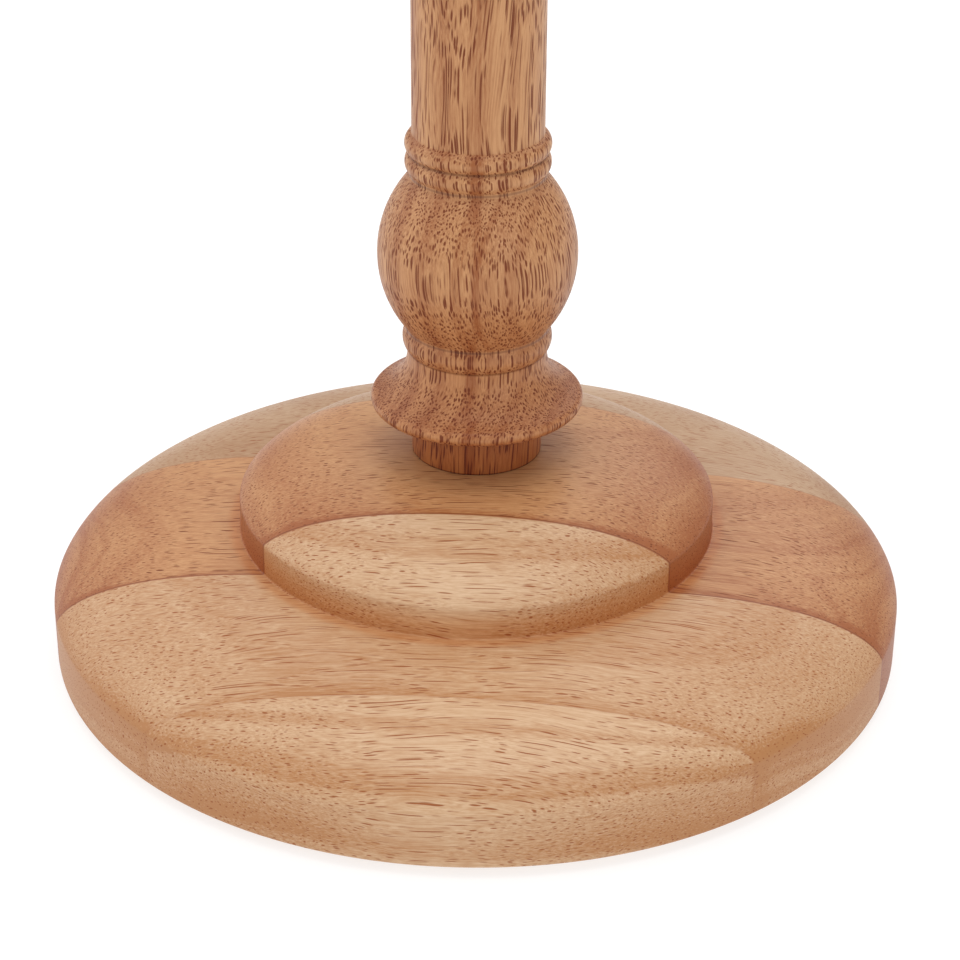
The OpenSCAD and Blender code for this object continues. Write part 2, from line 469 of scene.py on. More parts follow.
@dataclass(frozen=True)
class WoodFinish(Finish):
    """Oiled, lacquered wood with long open pores, seen in the wood's own directions.

    The pores are tubes along the grain. They sway a little, so a face that runs with the grain cuts
    them into short dashes, and a face across it cuts them into dots. The growth bands are rings
    round a pith that lies outside the piece. Sizes are in mm. A seam and a streak are given by their
    places and strengths. Painted shade darkens the colour by a tint: in a groove, given by its height
    and strength, in bands below given heights, and in the corner ring, which stays between the
    heights of its foot and top.
    """

    pale: Colour
    deep: Colour
    pore: Colour
    start: Triple = (0.0, 0.0, 0.0)
    pith: Point = (-60.0, -70.0)
    ring: float = 7.0
    lean_reach: float = 7.0
    sway_reach: float = 1.3
    band_share: float = 0.45
    # Tint for painted shade: the corner ring, the bands below given heights and the groove lines.
    stain_and_shade: Triple = (1.0, 0.78, 0.57)
    pore_gap: float = 0.72
    pore_size: float = 0.115
    pore_share: float = 0.95
    end_share: float = 0.88
    seams: tuple[Point, ...] = ()
    streak: tuple[float, float, float] | None = None
    # Painted shade: a ring in the inside corner at the tier wall's foot, bands darker downwards, and dark
    # groove lines.
    corner_shade: tuple[float, float, float] | None = None
    corner_shade_foot: Point = (18.0, 22.0)
    corner_shade_top: Point = (34.0, 28.0)
    shaded: tuple[Triple, ...] = ()
    grooves: tuple[Point, ...] = ()
    pore_depth: float = 0.05
    roughness: float = 0.43
    index: float = 1.37
    coat: float = 0.1
    coat_roughness: float = 0.28
    coat_index: float = 1.45

    def dress(self, net: Net) -> None:
        """Builds the nodes. The tubes lean over centimetres, sway over millimetres and break off."""
        place = net.add("ShaderNodeAttribute", {"attribute_name": WOOD_PLACE}, {}, "Vector")
        end = net.add("ShaderNodeAttribute", {"attribute_name": END_GRAIN}, {}, "Fac")
        spot = place + self.start
        lean = net.noise(spot * (0.05, 0.05, 0.022), 0.0, 0.5, "Color") - 0.5
        sway = net.noise(spot * (0.42, 0.42, 0.075), 0.0, 0.5, "Color") - 0.5
        reach, swing = self.lean_reach, self.sway_reach
        tubes = spot + lean * (reach, reach, 0.0) + sway * (swing, swing, 0.0)
        pores, darkness = self._pores(net, tubes)
        pores = pores * net.noise(spot * (0.5, 0.5, 0.2), 1.0).ramp(0.31, 0.43, 0.15, 1.0)
        fibre = net.noise(tubes * (3.6, 3.6, 0.05), 2.0, 0.7) - 0.5

        depth = self._figure(net, spot) + fibre * 1.6 + end * self.end_share
        if self.streak:
            middle, width, strength = self.streak
            off = abs(place.part("X") - middle + sway.part("X") * 2.0 + lean.part("Y") * 4.0)
            depth = depth + off.ramp(width, 0.0) * strength
        colour = net.blend(depth, self.pale, self.deep)
        colour = net.blend(pores * darkness * self.pore_share, colour, self.pore)
        net.surface(
            {
                "Base Color": self._seams_and_painted_shade(net, place, colour),
                "Roughness": self.roughness + pores * 0.25 + fibre * 0.16 + end * 0.05,
                "IOR": self.index,
                "Coat Weight": self.coat,
                "Coat Roughness": self.coat_roughness,
                "Coat IOR": self.coat_index,
                "Normal": net.bump(0.925 - pores * 0.765 + fibre * 0.15, self.pore_depth, strength=0.7),
            }
        )

    def _figure(self, net: Net, spot: Wire) -> Wire:
        """How deep the tone is: growth bands of uneven width round the pith, clouds and flecks.

        Args:
            net: The material's nodes.
            spot: Place in the wood.

        Returns:
            The share of the deep tone.
        """
        slow = net.noise(spot * (0.03, 0.03, 0.006), 1.0, 0.5, "Color") - 0.5
        from_pith = (spot + slow * (16.0, 16.0, 0.0) - (*self.pith, 0.0)) * (1.0, 1.0, 0.0)
        inputs = {"W": from_pith.length() / self.ring, "Scale": 1.0, "Detail": 3.0, "Roughness": 0.6}
        bands = net.add("ShaderNodeTexNoise", {"noise_dimensions": "1D"}, inputs, "Fac").ramp(0.30, 0.72)
        cloud = net.noise(spot * (0.03, 0.03, 0.01), 1.0) - 0.5
        fleck = net.noise(spot * (2.4, 2.4, 0.5), 2.0, 0.6) - 0.5
        return bands * self.band_share + cloud * 0.9 + fleck * 0.6 + 0.08

    def _seams_and_painted_shade(self, net: Net, place: Wire, colour: Wire) -> Wire:
        """The colour with its glue lines, and with painted shade in the corner, below given heights and in
        the grooves.

        Args:
            net: The material's nodes.
            place: Place in the piece.
            colour: Colour of the wood and its pores.

        Returns:
            The colour.
        """
        for seam, strength in self.seams:
            line = abs(place.part("X") - seam).ramp(0.35, 0.08)
            colour = net.blend(line * strength, colour, self.pore)
        # Painted shade in the inside corner at the foot of the tier wall.
        if self.corner_shade:
            ring, spread, strength = self.corner_shade
            near = abs((place * (1.0, 0.0, 1.0)).length() - ring).ramp(spread, spread * 0.3)
            height = place.part("Y")
            near = near * height.ramp(*self.corner_shade_top) * height.ramp(*self.corner_shade_foot)
            colour = net.blend(near * strength, colour, colour * self.stain_and_shade)
        # Painted shade, darker downwards between the given heights.
        for high, low, strength in self.shaded:
            shade = place.part("Z").ramp(high, low) * strength
            colour = net.blend(shade, colour, colour * self.stain_and_shade)
        # Painted shade: dark lines in the valleys and at the joints.
        for groove, strength in self.grooves:
            line = abs(place.part("Z") - groove).ramp(0.4, 0.1) * strength
            colour = net.blend(line, colour, colour * self.stain_and_shade * 0.4)
        return colour

    def _pores(self, net: Net, tubes: Wire) -> tuple[Wire, Wire]:
        """The pores: round tubes of uneven size, one in each cell of the section.

        Args:
            net: The material's nodes.
            tubes: Place in the wood, with its sway.

        Returns:
            The mask of the tubes, from 0 to 1, and how dark each one is.
        """
        cells = {"voronoi_dimensions": "2D", "feature": "F1"}
        inputs = {"Vector": tubes, "Scale": 1 / self.pore_gap}
        distance = net.add("ShaderNodeTexVoronoi", cells, inputs, "Distance")
        own = net.add("ShaderNodeTexVoronoi", cells, inputs, "Color").part("X")
        size = self.pore_size / self.pore_gap
        mask = (distance - own * size * 0.45).ramp(size, size * 0.35)
        return mask, own.ramp(0.0, 0.6, 0.6, 1.0)


# The brown wood of the post; the finial's is another piece of it.
TURNED_WOOD = WoodFinish(
    "post_wood",
    pale=linear(199, 147, 101),
    deep=linear(153, 91, 51),
    pore=linear(112, 48, 15),
    start=(31.3, 12.7, 0),
    pith=(-34, 22),
    ring=4.0,
    pore_gap=0.55,
    pore_size=0.17,
    end_share=0.35,
)


@dataclass(frozen=True)
class SteelFinish(Finish):
    """Plated steel with fine drawing marks and a slightly uneven sheen."""

    bright: Colour
    dull: Colour
    roughness: float

    def dress(self, net: Net) -> None:
        """Builds the nodes."""
        place = net.add("ShaderNodeTexCoord", {}, {}, "Object") / MM
        marks = net.noise(place * (0.9, 0.9, 9.0), 3.0, 0.6)
        stain_and_shade = net.noise(place * 0.6, 2.0, 0.6)
        net.surface(
            {
                "Base Color": net.blend(stain_and_shade.ramp(0.3, 0.7), self.bright, self.dull),
                "Metallic": 1.0,
                "Roughness": self.roughness + (marks - 0.5) * 0.2 + (stain_and_shade - 0.5) * 0.15,
                "Normal": net.bump(marks, 0.02, 0.6),
            }
        )


@dataclass(frozen=True)
class FeltFinish(Finish):
    """Pressed felt: matted fibres in two close browns."""

    light: Colour
    dark: Colour

    def dress(self, net: Net) -> None:
        """Builds the nodes."""
        place = net.add("ShaderNodeTexCoord", {}, {}, "Object") / MM
        twist = net.noise(place * 0.8, 1.0, 0.5, "Color") * 3.0
        fibres = net.noise((place + twist) * (3.5, 1.1, 2.2), 3.0, 0.7)
        clumps = net.noise(place * 0.7, 2.0)
        net.surface(
            {
                "Base Color": net.blend(fibres.ramp(0.3, 0.7) * 0.8 + clumps * 0.2, self.dark, self.light),
                "Roughness": 0.95,
                "Sheen Weight": 0.3,
                "Sheen Roughness": 0.5,
                "Normal": net.bump(fibres, 0.25, 0.9),
            }
        )


@dataclass(frozen=True)
class FloorPaint(Finish):
    """Flat pale paint that gives back some light of its own, so that it reads as white."""

    shade: float = 0.35
    glow: float = 0.72

    def dress(self, net: Net) -> None:
        """Builds the nodes."""
        net.surface(
            {
                "Base Color": (self.shade, self.shade, self.shade, 1),
                "Roughness": 0.9,
                "Specular IOR Level": 0.1,
                "Emission Color": (1, 1, 1, 1),
                "Emission Strength": self.glow,
            }
        )


def finish_piece(piece: bpy.types.Object, material: bpy.types.Material, slot: Slot, *nodes: str) -> None:
    """Dresses a piece, fixes it to the frame and hides the CAD nodes that it stands for.

    Args:
        piece: The finished piece.
        material: Its material.
        slot: The record's slot that the finish belongs to; not used.
        nodes: The CAD nodes that it replaces.
    """
    piece.data.materials.clear()
    piece.data.materials.append(material)
    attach(piece, "root")
    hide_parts(*nodes)
    LOG.info("%s: %d faces", piece.name, len(piece.data.polygons))


# ---------------------------------------------------------------- sub-assemblies


@dataclass
class Base:
    """The round base: one blank glued up from four boards, then turned. Sizes in mm."""

    lift: float
    diameter: float = 170.0
    rim_height: float = 11.5
    chamfer: float = 0.6
    shoulder_height: float = 24.5
    shoulder_over: float = 0.6
    shoulder_crown: float = 2.3
    tier_diameter: float = 94.5
    tier_wall: float = 31.0
    dome_over: float = 2.0
    seat_height: float = 40.6
    seat_diameter: float = 28.8
    mortise_radius: float = 9.6
    mortise_floor: float = 20.6
    bore_radius: float = 2.9
    counterbore_radius: float = 7.9
    counterbore_height: float = 8.0
    seam_angle: float = -4.4
    seams: tuple[float, float, float] = (-64.1, -26.7, 22.4)
    sideways: int = 64

    def outline(self) -> Array:
        """The turned outline from the middle of the underside out to the rim and up to the seat."""
        base_r, tier_r = self.diameter / 2, self.tier_diameter / 2
        seat_r = self.seat_diameter / 2
        middle = tier_r - self.shoulder_crown
        width = base_r + self.shoulder_over - middle
        cut = (base_r - middle) / width
        height = ellipse_height(self.shoulder_height - self.rim_height, cut)
        dome_w = tier_r + self.dome_over - seat_r
        dome_cut = (tier_r - seat_r) / dome_w
        dome_h = ellipse_height(self.seat_height - self.tier_wall, dome_cut)
        low, high = self.shoulder_height - height, self.seat_height - dome_h
        last = math.acos(self.shoulder_crown / width)
        shoulder = ellipse_arc((middle, low), (width, height), math.acos(cut), last)
        dome = ellipse_arc((seat_r, high), (dome_w, dome_h), math.acos(dome_cut), math.pi / 2)
        foot = [(0, 0), (base_r - self.chamfer, 0), (base_r, self.chamfer)]
        return np.concatenate([foot, shoulder, dome, [(0, self.seat_height)]])

    def rows(self, inner: float, radii: Iterable[float]) -> Array:
        """Rows of the outside surface, from the underside round to the top, beyond an inner radius.

        Args:
            inner: Distance from the axis at which the rows begin and end.
            radii: Further distances that need rows of their own.

        Returns:
            Points (r, z), one for each row.
        """
        eased = sanded(self.outline(), softness=0.3)
        rows = levels(eased, step=2.2, turn=6.0, radii=(inner, *radii))
        return rows[rows[:, 0] >= inner - 1e-4]

    def board(self, name: str, near: float, far: float) -> bpy.types.Object:
        """One board: the part of the turned blank between two seams.

        In each row of radius r the surface runs from the angle whose sine is near over r to the
        angle whose sine is far over r, on the right and mirrored on the left. Rows stand closer
        beside a seam, where that angle changes fast. Each cut face is one flat polygon along the
        rows' ends. The middle board's rows go on down the mortise and the screw's holes, back to
        where they began.

        Args:
            name: Name of the CAD node and the piece.
            near: Distance of the front seam behind the axis, or of the rim.
            far: Distance of the rear seam.

        Returns:
            The piece.
        """
        base_r = self.diameter / 2
        cuts = [d for d in (near, far) if abs(d) < base_r]
        steps = np.array([1.5, 3.0, 5.0, 8.0, 12.0])
        radii = [r for d in cuts for r in (abs(d), *np.hypot(d, steps))]
        through = near < 0 < far
        if through:
            rows = self.rows(self.counterbore_radius, [*radii, self.mortise_radius])
            top = (rows[:, 1] < 1) | (rows[:, 0] > self.mortise_radius - 1e-3)
            bore, wide, ledge = self.bore_radius, self.counterbore_radius, self.counterbore_height
            mortise = [(self.mortise_radius, self.mortise_floor), (bore, self.mortise_floor)]
            rows = np.concatenate([rows[top], mortise, [(bore, ledge), (wide, ledge), (wide, 0.0)]])
        else:
            rows = self.rows(min(abs(near), abs(far)), radii)
        r, z = rows[:, :1], rows[:, 1:]
        low = np.arcsin(np.clip(near / r, -1, 1))
        high = np.arcsin(np.clip(far / r, -1, 1))
        angle = low + (high - low) * np.linspace(0, 1, self.sideways + 1)
        u, v = r * np.cos(angle), r * np.sin(angle)
        halves = [np.stack([side * u, v, z + 0 * u], -1).reshape(-1, 3) for side in (1, -1)]
        faces = grid_faces(len(rows), self.sideways + 1)
        polygons = [*faces.tolist(), *(faces[:, ::-1] + len(halves[0])).tolist()]
        for cut in cuts:
            column = 0 if cut == near else self.sideways
            line = np.nonzero(rows[:, 0] >= abs(cut) - 1e-4)[0] * (self.sideways + 1) + column
            polygons.append([*line.tolist(), *(line[::-1] + len(halves[0])).tolist()])
        points = np.concatenate(halves) + (0, 0, self.lift)
        turn = math.radians(self.seam_angle)
        cos, sin = math.cos(turn), math.sin(turn)
        spin = np.array([[cos, sin, 0], [-sin, cos, 0], [0, 0, 1]])
        piece = closed_mesh(name, points @ spin, polygons)
        soften(piece)
        return piece

    def grain(self) -> Grain:
        """The boards' grain runs along their seams."""
        turn = math.radians(self.seam_angle)
        return Grain((-math.sin(turn), math.cos(turn), 0), (0, 0, 1), (math.cos(turn), math.sin(turn), 0))

    def woods(self) -> tuple[WoodFinish, ...]:
        """The four boards' wood, from the front edge back. Their seams show as thin lines."""
        edge, front, _ = self.seams
        # Painted shade in the inside corner where the tier wall meets the shoulder.
        corner_shade = (self.tier_diameter / 2 + 0.2, 3.0, 0.8)
        seams = tuple(zip(self.seams, (0.15, 0.9, 0.3)))
        pale, deep, pore = linear(211, 177, 142), linear(175, 121, 75), linear(148, 82, 40)
        edge_wood = WoodFinish(
            "edge_wood", pale, deep, pore, start=(11, 40, 300), pith=(-95, -60), seams=seams
        )
        front_wood = replace(
            edge_wood,
            name="front_wood",
            start=(0, 7, 60),
            pith=(-48, -75),
            streak=(edge, 3.0, 0.3),
            corner_shade=corner_shade,
        )
        middle_wood = replace(
            front_wood,
            name="middle_wood",
            pale=linear(197, 146, 99),
            deep=linear(154, 87, 44),
            pore=linear(120, 60, 27),
            start=(70, 3, 500),
            pith=(60, -40),
            streak=(front, 2.5, 0.5),
        )
        rear_wood = replace(
            edge_wood,
            name="rear_wood",
            pale=linear(190, 157, 125),
            deep=linear(164, 121, 83),
            start=(130, 19, 900),
            pith=(150, -60),
        )
        return edge_wood, front_wood, middle_wood, rear_wood

    def build(self) -> None:
        """Builds and dresses the four boards."""
        names = ("base_front_edge_board", "base_front_board", "base_middle_board", "base_rear_board")
        slots = (Slot.PALE_BOARD, Slot.PALE_BOARD, Slot.WARM_BOARD, Slot.REAR_BOARD)
        limits = (-self.diameter, *self.seams, self.diameter)
        for name, slot, wood, near, far in zip(names, slots, self.woods(), limits, limits[1:]):
            piece = self.board(name + "_turned", near, far)
            self.grain().mark(piece)
            finish_piece(piece, wood.material(), slot, name)


@dataclass
class Post:
    """The turned post, from its tenon in the base to its flat top. Sizes in mm above the seat."""

    seat: float
    top: float
    column_radius: float = 12.5
    tenon_radius: float = 9.5
    tenon_length: float = 20.0
    neck_radius: float = 12.75
    collar_height: float = 10.0
    collar_radius: float = 20.8
    collar_rim: float = 2.8
    rim_round: float = 0.85
    undercut: float = 0.6
    flare_height: float = 8.2
    flare_width: float = 11.5
    cove_radius: float = 13.6
    cove_land: float = 1.0
    low_bead_radius: float = 14.7
    low_bead_height: float = 4.3
    low_valley: float = 0.7
    quirk: float = 0.8
    ball_radius: float = 19.2
    ball_height: float = 30.5
    bead_radius: float = 13.85
    bead_height: float = 3.8
    bead_valley: float = 0.85
    pilot_radius: float = 2.6
    pilot_depth: float = 16.2
    socket_radius: float = 6.1
    socket_depth: float = 16.0
    peg_level: float = 146.0
    around: int = 160

    def heights(self) -> tuple[float, ...]:
        """Feet of the collar's rim, its flare, the cove, the low bead, the ball, the beads, the column."""
        spans = (
            self.collar_height,
            self.collar_rim,
            self.flare_height,
            self.cove_land,
            self.low_bead_height + self.quirk,
            self.ball_height + self.quirk,
            2 * self.bead_height,
        )
        return tuple(accumulate(spans))

    def outline(self) -> Array:
        """The outside of the post, from the foot of its tenon up to its top edge."""
        rim, flare, cove, low_bead, ball, beads, column = self.heights()
        valley, foot = self.bead_radius - self.bead_valley, self.low_bead_radius - self.low_valley
        rim_r = self.collar_radius - self.rim_round
        angle = math.acos(1 - (rim_r - self.cove_radius) / self.flare_width)
        height = self.flare_height / math.sin(angle)
        side, upper_bead = self.column_radius, beads + self.bead_height
        ball_rise = self.ball_radius - (foot + valley) / 2
        bead_rise = self.bead_radius - (valley + side) / 2
        flare_middle = (self.cove_radius + self.flare_width, cove)
        return np.concatenate(
            [
                [(self.tenon_radius, -self.tenon_length), (self.tenon_radius, 0)],
                [(self.neck_radius, 0), (self.neck_radius, rim - self.undercut)],
                bulge((rim_r, rim), (rim_r, flare), self.rim_round),
                ellipse_arc(flare_middle, (-self.flare_width, -height), angle, 0),
                bulge((self.cove_radius, low_bead), (foot, ball - self.quirk), self.low_valley),
                bulge((foot, ball), (valley, ball + self.ball_height), ball_rise, 96),
                bulge((valley, beads), (valley, upper_bead), self.bead_valley),
                bulge((valley, upper_bead), (side, column), bead_rise),
                [(side, self.top - self.seat)],
            ]
        )

    def grooves(self) -> tuple[Point, ...]:
        """Heights of the painted shade lines in the sharp valleys and at the seat joint, and how dark each
        one is.
        """
        *_, low_bead, ball, beads, _ = self.heights()
        valleys = (low_bead, ball - self.quirk / 2, beads - self.quirk / 2, beads + self.bead_height)
        return (self.seat, 1.0), *((self.seat + height, 0.5) for height in valleys)

    def build(self, pegs: "Pegs") -> None:
        """Builds the post with the holes for its pegs, and dresses it.

        Args:
            pegs: The pegs, which know where their holes are.
        """
        height = self.top - self.seat
        outside = levels(sanded(self.outline(), softness=0.12), step=3.0, turn=7.0)
        pilot, socket = self.pilot_radius, self.socket_radius
        floor = height - self.socket_depth
        foot = [(0, self.pilot_depth), (pilot, self.pilot_depth), (pilot, -self.tenon_length)]
        inside = [(socket, height), (socket, floor), (0, floor)]
        rows = np.concatenate([foot, outside, inside])
        points, faces = turned(rows, self.around)
        piece = closed_mesh("post_turned", points + (0, 0, self.seat), faces)
        carve(piece, pegs.holes())
        soften(piece)
        UPRIGHT.mark(piece)
        finish = replace(
            TURNED_WOOD,
            streak=(-0.8, 1.8, 0.4),
            # Painted shade: darker towards the collar and under it, and dark lines in the valleys and at
            # the seat.
            stain_and_shade=(0.72, 0.43, 0.2),
            shaded=((92.0, 68.0, 0.35), (54.5, 51.5, 0.8)),
            grooves=self.grooves(),
        )
        finish_piece(piece, finish.material(), Slot.POST, "post")


@dataclass
class Pegs:
    """Six round pegs, glued into slanting holes in the post. Sizes in mm."""

    level: float
    radius: float = 5.0
    length: float = 72.566
    start: float = 3.868
    dome: float = 3.0
    rise: float = 30.0
    step: float = 58.0
    turn: float = 60.0
    gap: float = 0.1
    hole_length: float = 30.0
    around: int = 64
    places: dict[str, tuple[int, int]] = field(
        default_factory=lambda: {
            "peg_low_right": (0, 0),
            "peg_low_left": (0, 1),
            "peg_middle_right": (1, 0),
            "peg_middle_left": (1, 1),
            "peg_high_right": (2, 1),
            "peg_high_left": (2, 0),
        }
    )

    def frame_of(self, level: int, side: int) -> tuple[Grain, Array]:
        """The directions of one peg and the place where its line crosses the post's axis.

        Args:
            level: Level, from the lowest up.
            side: Side of the post.

        Returns:
            The grain, which runs along the peg, and the crossing.
        """
        way, lift = math.radians(level * self.turn + side * 180), math.radians(self.rise)
        along = (math.cos(way) * math.cos(lift), math.sin(way) * math.cos(lift), math.sin(lift))
        across = (-math.sin(way), math.cos(way), 0.0)
        depth = tuple(np.cross(along, across))
        return Grain(across, depth, along), np.array([0, 0, self.level + level * self.step])

    def placed(self, rows: Array, level: int, side: int) -> tuple[Array, Array]:
        """A turned outline laid along one peg's line: (r, z) becomes r across it and z along it.

        Args:
            rows: Points (r, z), with z from the crossing with the axis.
            level: Level, from the lowest up.
            side: Side of the post.

        Returns:
            The points in the frame and the faces.
        """
        grain, crossing = self.frame_of(level, side)
        points, faces = turned(rows, self.around)
        return points @ np.array([grain.across, grain.depth, grain.along]) + crossing, faces

    def holes(self) -> bpy.types.Object:
        """One cutter for all the holes, a little wider than the pegs."""
        r, bottom, mouth = self.radius + self.gap, self.start, self.start + self.hole_length
        rows = np.array([(0, bottom), (r, bottom), (r, mouth), (0, mouth)])
        parts = [self.placed(rows, *place) for place in self.places.values()]
        count = len(parts[0][0])
        points = np.concatenate([part[0] for part in parts])
        faces = np.concatenate([part[1] + k * count for k, part in enumerate(parts)])
        return closed_mesh("peg_holes", points, faces)

    def build(self) -> None:
        """Builds and dresses the six pegs."""
        body = self.start + self.length - self.dome
        outline = np.concatenate(
            [
                [(0, self.start), (self.radius, self.start)],
                ellipse_arc((0, body), (self.radius, self.dome), 0, math.pi / 2),
            ]
        )
        rows = levels(sanded(outline, softness=0.25), step=3.0, turn=7.0)
        rows[[0, -1], 0] = 0
        for number, (name, place) in enumerate(self.places.items()):
            piece = closed_mesh(name + "_turned", *self.placed(rows, *place))
            soften(piece)
            self.frame_of(*place)[0].mark(piece)
            finish = WoodFinish(
                name + "_wood",
                pale=linear(204, 148, 98),
                deep=linear(182, 120, 70),
                pore=linear(124, 72, 36),
                start=(17.0 * number, 9.0 * number, 130.0 * number),
                pith=(-40 + 9 * number, 30),
                ring=3.5,
                pore_gap=0.9,
            )
            finish_piece(piece, finish.material(), Slot.PEG, name)


@dataclass
class Finial:
    """The turned knob on top of the post, with its tenon. Sizes in mm."""

    top: float
    column_radius: float = 12.5
    bead_radius: float = 13.85
    bead_height: float = 3.8
    quirk: float = 0.8
    waist_radius: float = 8.5
    waist_height: float = 6.0
    waist_hollow: float = 1.5
    valley: float = 0.7
    knob_radius: float = 16.0
    knob_height: float = 25.0
    button_radius: float = 4.5
    button_height: float = 3.0
    tenon_radius: float = 6.0
    tenon_length: float = 16.0
    around: int = 128

    def outline(self) -> Array:
        """The finial from the foot of its tenon to the top of its button."""
        waist = self.bead_height + self.quirk
        knob = waist + self.waist_height
        button = knob + self.knob_height
        foot, side, top = self.waist_radius + self.valley, self.column_radius, self.button_radius
        rise, half = self.knob_radius - (foot + top) / 2, self.button_height / 2
        return np.concatenate(
            [
                [(0, -self.tenon_length), (self.tenon_radius, -self.tenon_length), (self.tenon_radius, 0)],
                bulge((side, 0), (side, self.bead_height), self.bead_radius - side),
                bulge((side, waist), (self.waist_radius, knob - self.quirk), -self.waist_hollow),
                bulge((foot, knob), (top, button), rise, 96),
                ellipse_arc((0, button + half), (top, half), 0, math.pi / 2),
            ]
        )

    def grooves(self) -> tuple[Point, ...]:
        """Heights of the painted shade lines at the joint with the post and in the valleys beside the
        waist, all alike.
        """
        waist = self.bead_height + self.quirk
        valleys = (0.0, waist - self.quirk / 2, waist + self.waist_height - self.quirk / 2)
        return tuple((self.top + height, 0.6) for height in valleys)

    def build(self) -> None:
        """Builds and dresses the finial."""
        rows = levels(sanded(self.outline(), softness=0.2), step=2.5, turn=6.0)
        rows[[0, -1], 0] = 0
        points, faces = turned(rows, self.around)
        piece = closed_mesh("finial_turned", points + (0, 0, self.top), faces)
        soften(piece)
        UPRIGHT.mark(piece)
        finish = replace(
            TURNED_WOOD, name="finial_wood", start=(71.3, 42.7, 50), pith=(28, -31), grooves=self.grooves()
        )
        finish_piece(piece, finish.material(), Slot.POST, "finial")


@dataclass
class Fixing:
    """The wood screw and its washer, hidden in the base's counterbore. Sizes in mm."""

    seat: float
    length: float = 50.0
    shank_radius: float = 2.5
    core_radius: float = 1.7
    head_radius: float = 4.75
    head_height: float = 3.4
    plain_length: float = 14.0
    tip_length: float = 6.0
    pitch: float = 2.2
    cross_width: float = 1.4
    cross_depth: float = 1.6
    washer_radius: float = 7.5
    washer_hole: float = 2.6
    washer_height: float = 1.2
    around: int = 64

    def screw(self) -> bpy.types.Object:
        """The screw: a domed head below a shank whose radius rises along a helix.

        At height z and angle t the thread's phase is z over the pitch minus t over a full turn. The
        radius is the core's plus a sharp ridge of that phase, and it shrinks to nothing at the tip.

        Returns:
            The piece.
        """
        under = self.seat
        edge = self.head_height / 3
        head = ellipse_arc((0, -edge), (self.head_radius, self.head_height - edge), -math.pi / 2, 0, 24)
        land = np.array([(self.head_radius, -0.2), (self.head_radius - 0.2, 0), (self.shank_radius, 0)])
        z = np.arange(0.3, self.length, self.pitch / 14)
        shank = np.stack([np.full_like(z, self.shank_radius), z], -1)
        rows = np.concatenate([head, land, shank, [(0.02, self.length)]])
        angle = np.linspace(0, 2 * math.pi, self.around, endpoint=False)
        height = rows[:, 1:] + 0 * angle
        phase = np.mod(height / self.pitch - angle / (2 * math.pi), 1)
        ridge = np.clip(1 - np.abs(phase - 0.5) * 3.2, 0, 1)
        threaded = np.clip((height - self.plain_length) / self.pitch, 0, 1)
        taper = np.clip((self.length - height) / self.tip_length, 0, 1)
        thread = self.core_radius + (self.shank_radius - self.core_radius) * ridge
        radius = rows[:, :1] * (1 - threaded) + thread * threaded
        radius = np.where(height > 0, radius * taper, rows[:, :1])
        points = np.stack([radius * np.cos(angle), radius * np.sin(angle), height + under], -1)
        points[-1, :, :2] = 0
        faces = grid_faces(len(rows), self.around, wrap=True)
        return closed_mesh("base_screw_threaded", points.reshape(-1, 3), faces)

    def cross(self) -> bpy.types.Object:
        """Cutter for the cross in the screw's head: a twelve-sided plus that narrows upwards."""
        w, r = self.cross_width / 2, self.head_radius / 2
        arm = np.array([(r, w), (w, w), (w, r)])
        plus = np.concatenate([arm, arm[::-1] * (-1, 1), -arm, arm[::-1] * (1, -1)])
        bottom = self.seat - self.head_height - 0.5
        heights = (bottom, bottom + self.cross_depth + 0.5)
        layers = [np.column_stack([plus * s, np.full(12, h)]) for s, h in zip((1.08, 0.8), heights)]
        sides = grid_faces(2, 12, wrap=True).tolist()
        return closed_mesh("cross", np.concatenate(layers), [*sides, list(range(12)), list(range(12, 24))])

    def washer(self) -> bpy.types.Object:
        """The washer: a flat ring with eased edges."""
        low, high = self.seat, self.seat + self.washer_height
        hole, rim, middle = self.washer_hole, self.washer_radius, (low + high) / 2
        ring = [(hole, middle), (hole, low), (rim, low), (rim, high), (hole, high), (hole, middle)]
        rows = levels(sanded(np.array(ring), softness=0.1), step=2.0, turn=12.0)
        return closed_mesh("screw_washer_pressed", *turned(rows, 96))

    def build(self) -> None:
        """Builds and dresses the screw and the washer."""
        screw = self.screw()
        carve(screw, self.cross())
        soften(screw, 40)
        plated = SteelFinish("yellow_plated", linear(214, 190, 120), linear(176, 150, 96), 0.32)
        finish_piece(screw, plated.material(), Slot.SCREW, "base_screw")
        washer = self.washer()
        soften(washer, 40)
        zinc = SteelFinish("zinc_plated", linear(200, 203, 206), linear(150, 155, 160), 0.36)
        finish_piece(washer, zinc.material(), Slot.WASHER, "screw_washer")


@dataclass
class FootPads:
    """Four round felt pads under the base. Sizes in mm."""

    count: int = 4
    radius: float = 7.5
    height: float = 2.0
    ring: float = 69.5
    first: float = 40.6
    around: int = 72

    def build(self) -> None:
        """Builds and dresses the pads."""
        edge = [(0, 0), (self.radius, 0), (self.radius, self.height), (0, self.height)]
        rows = levels(sanded(np.array(edge, float), softness=0.22), step=0.8, turn=8.0)
        rows[[0, -1], 0] = 0
        felt = FeltFinish("brown_felt", linear(150, 126, 104), linear(112, 90, 70)).material()
        for number in range(1, self.count + 1):
            way = math.radians(self.first + 360 / self.count * number)
            points, faces = turned(rows, self.around)
            points = points + (self.ring * math.cos(way), self.ring * math.sin(way), 0)
            piece = closed_mesh(f"foot_pad_{number}_felt", points, faces)
            soften(piece)
            finish_piece(piece, felt, Slot.PAD, f"foot_pad_{number}")


# ---------------------------------------------------------------- studio


